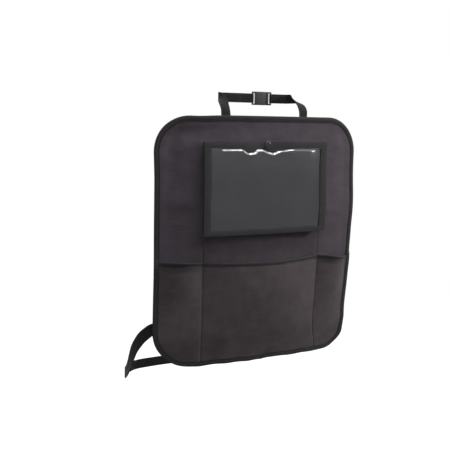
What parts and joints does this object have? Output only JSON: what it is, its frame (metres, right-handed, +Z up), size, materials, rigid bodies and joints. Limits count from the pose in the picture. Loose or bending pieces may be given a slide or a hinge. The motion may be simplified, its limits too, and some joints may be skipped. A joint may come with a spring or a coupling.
{
  "type": "car seat back protector",
  "caption": "Bound fabric mat that covers the back of a car seat, with a windowed tablet pocket, lower pockets and webbing loops.",
  "frame": {"origin": "midway between the two headrest posts, at the height of the webbing that passes them", "axes": "+Z up, +X to the right as the rear passenger sees it, +Y towards the front of the car"},
  "size_m": [0.5413, 0.3319, 0.7158],
  "materials": {
    "mat_fabric": "matt charcoal woven polyester",
    "pocket_fabric": "matt charcoal woven polyester",
    "binding_tape": "black ribbed tape",
    "border_fabric": "black coated fabric",
    "clear_film": "clear glossy vinyl film",
    "webbing": "black ribbed polypropylene webbing",
    "black_plastic": "satin moulded plastic",
    "snap_enamel": "gloss black enamel",
    "snap_metal": "dark plated steel"
  },
  "bodies": {
    "root": {"back_panel": "mat_fabric", "edge_binding": "binding_tape", "lower_pocket": "pocket_fabric", "pocket_hem": "binding_tape", "tablet_wall": "border_fabric", "tablet_border": "border_fabric", "tablet_mouth_band": "border_fabric", "tablet_window": "clear_film", "snap_cap": "snap_enamel", "snap_socket": "snap_metal", "snap_stud": "snap_metal", "snap_post": "snap_metal", "headrest_strap_left": "webbing", "headrest_strap_right": "webbing", "headrest_buckle_socket": "black_plastic", "headrest_buckle_plug": "black_plastic", "seat_strap_left": "webbing", "seat_strap_right": "webbing", "seat_buckle_socket": "black_plastic", "seat_buckle_plug": "black_plastic"}
  },
  "joints": []
}
